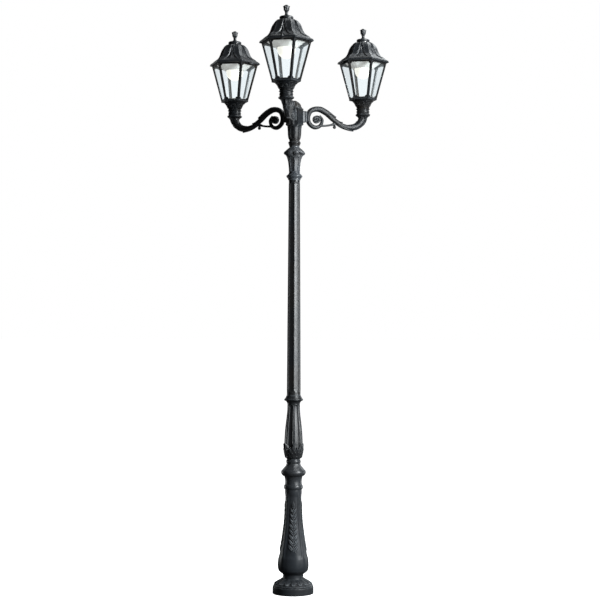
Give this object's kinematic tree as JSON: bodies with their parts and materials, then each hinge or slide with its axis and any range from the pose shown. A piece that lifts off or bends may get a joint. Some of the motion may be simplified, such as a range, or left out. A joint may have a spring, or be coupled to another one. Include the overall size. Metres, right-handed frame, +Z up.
{
  "type": "outdoor post light",
  "caption": "Tall dark cast garden post light: fluted ornamental post, scroll arms and upright hexagonal lanterns with clear panes, hinged bell roofs and opal globe bulbs.",
  "frame": {"origin": "on the ground at the middle of the anchor bolt circle, under the post axis", "axes": "+Z up along the post, -Y along the front arm, +X to the right seen from the front"},
  "size_m": [1.0182, 0.895, 3.14],
  "materials": {
    "cast_black": "satin",
    "steel": "satin",
    "stainless": "satin",
    "dark_plastic": "matte",
    "light_plastic": "matte",
    "rubber": "matte",
    "clear_glass": "gloss",
    "white_enamel": "satin",
    "porcelain": "gloss",
    "brass": "satin",
    "opal_glass": "satin",
    "nickel": "satin"
  },
  "bodies": {
    "post": {"anchor_plate": "steel", "core_tube": "steel", "base_cover": "cast_black", "pedestal": "cast_black", "pedestal_collar": "cast_black", "baluster": "cast_black", "shaft": "cast_black", "capital": "cast_black", "centring_rings": "dark_plastic", "arm_hub": "cast_black", "hub_grub_screws": "stainless", "hub_dome": "cast_black", "terminal_block": "light_plastic", "arm_bolts": "stainless", "arm_gaskets": "rubber", "lantern_set_screws": "stainless", "hinge_pins": "stainless", "arm_front": "cast_black", "lantern_cup_front": "cast_black", "lantern_cage_front": "cast_black", "window_panes_front": "clear_glass", "arm_right": "cast_black", "lantern_cup_right": "cast_black", "lantern_cage_right": "cast_black", "window_panes_right": "clear_glass", "arm_left": "cast_black", "lantern_cup_left": "cast_black", "lantern_cage_left": "cast_black", "window_panes_left": "clear_glass"},
    "roof_front": {"lantern_roof_front": "cast_black", "roof_cap_front": "cast_black", "cap_screws_front": "stainless", "finial_front": "cast_black", "reflector_front": "white_enamel", "lampholder_front": "porcelain", "stem_nipple_front": "brass"},
    "thumbscrew_front": {"roof_thumbscrew_front": "cast_black"},
    "bulb_front": {"bulb_globe_front": "opal_glass", "bulb_base_front": "nickel"},
    "roof_right": {"lantern_roof_right": "cast_black", "roof_cap_right": "cast_black", "cap_screws_right": "stainless", "finial_right": "cast_black", "reflector_right": "white_enamel", "lampholder_right": "porcelain", "stem_nipple_right": "brass"},
    "thumbscrew_right": {"roof_thumbscrew_right": "cast_black"},
    "bulb_right": {"bulb_globe_right": "opal_glass", "bulb_base_right": "nickel"},
    "roof_left": {"lantern_roof_left": "cast_black", "roof_cap_left": "cast_black", "cap_screws_left": "stainless", "finial_left": "cast_black", "reflector_left": "white_enamel", "lampholder_left": "porcelain", "stem_nipple_left": "brass"},
    "thumbscrew_left": {"roof_thumbscrew_left": "cast_black"},
    "bulb_left": {"bulb_globe_left": "opal_glass", "bulb_base_left": "nickel"}
  },
  "joints": [
    {"name": "roof_hinge_front", "type": "hinge", "parent": "post", "child": "roof_front", "pos_m": [0.01192, -0.28904, 2.942], "axis": [-0.9959, 0.0906, 0], "range_deg": [0, 100]},
    {"name": "thumbscrew_turn_front", "type": "hinge", "parent": "roof_front", "child": "thumbscrew_front", "pos_m": [-0.01079, -0.53851, 2.966], "axis": [0, 0, 1], "range_deg": [0, 1800]},
    {"name": "bulb_turn_front", "type": "hinge", "parent": "roof_front", "child": "bulb_front", "pos_m": [0, -0.42, 2.98], "axis": [0, 0, -1], "range_deg": [0, 1080]},
    {"name": "roof_hinge_right", "type": "hinge", "parent": "post", "child": "roof_right", "pos_m": [0.24436, 0.15484, 2.942], "axis": [0.4195, -0.9078, 0], "range_deg": [0, 100]},
    {"name": "thumbscrew_turn_right", "type": "hinge", "parent": "roof_right", "child": "thumbscrew_right", "pos_m": [0.47176, 0.25991, 2.966], "axis": [0, 0, 1], "range_deg": [0, 1800]},
    {"name": "bulb_turn_right", "type": "hinge", "parent": "roof_right", "child": "bulb_right", "pos_m": [0.36373, 0.21, 2.98], "axis": [0, 0, -1], "range_deg": [0, 1080]},
    {"name": "roof_hinge_left", "type": "hinge", "parent": "post", "child": "roof_left", "pos_m": [-0.25628, 0.1342, 2.942], "axis": [0.5764, 0.8171, 0], "range_deg": [0, 100]},
    {"name": "thumbscrew_turn_left", "type": "hinge", "parent": "roof_left", "child": "thumbscrew_left", "pos_m": [-0.46097, 0.2786, 2.966], "axis": [0, 0, 1], "range_deg": [0, 1800]},
    {"name": "bulb_turn_left", "type": "hinge", "parent": "roof_left", "child": "bulb_left", "pos_m": [-0.36373, 0.21, 2.98], "axis": [0, 0, -1], "range_deg": [0, 1080]}
  ]
}
